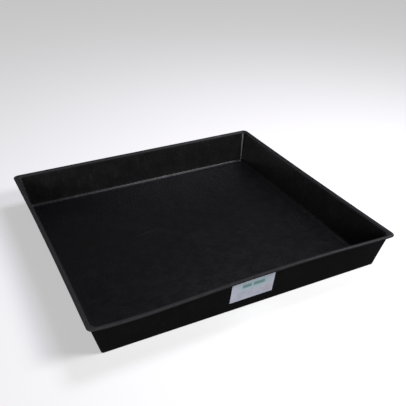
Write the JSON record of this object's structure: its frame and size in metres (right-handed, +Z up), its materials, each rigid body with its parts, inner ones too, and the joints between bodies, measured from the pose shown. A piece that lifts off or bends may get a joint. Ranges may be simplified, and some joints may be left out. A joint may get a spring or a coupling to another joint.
{
  "type": "spill containment tray",
  "caption": "Shallow open rectangular tray with outward-sloping walls and a narrow out-turned rim, which stands flat on a floor and catches leaks from drums and cans.",
  "frame": {"origin": "centre of the flat underside, on the floor the tray stands on", "axes": "+X along the longer side, +Y from the front wall with the label towards the back wall, +Z up out of the open top"},
  "size_m": [1.3994, 1.3249, 0.177],
  "materials": {
    "tray_plastic": "black polyethylene, satin with a fine moulded grain, lightly scuffed and dusty",
    "label_film": "pale grey printed self-adhesive film, satin, with a plain teal band and faint rules"
  },
  "bodies": {
    "root": {"tray": "tray_plastic", "front_label": "label_film"}
  },
  "joints": []
}
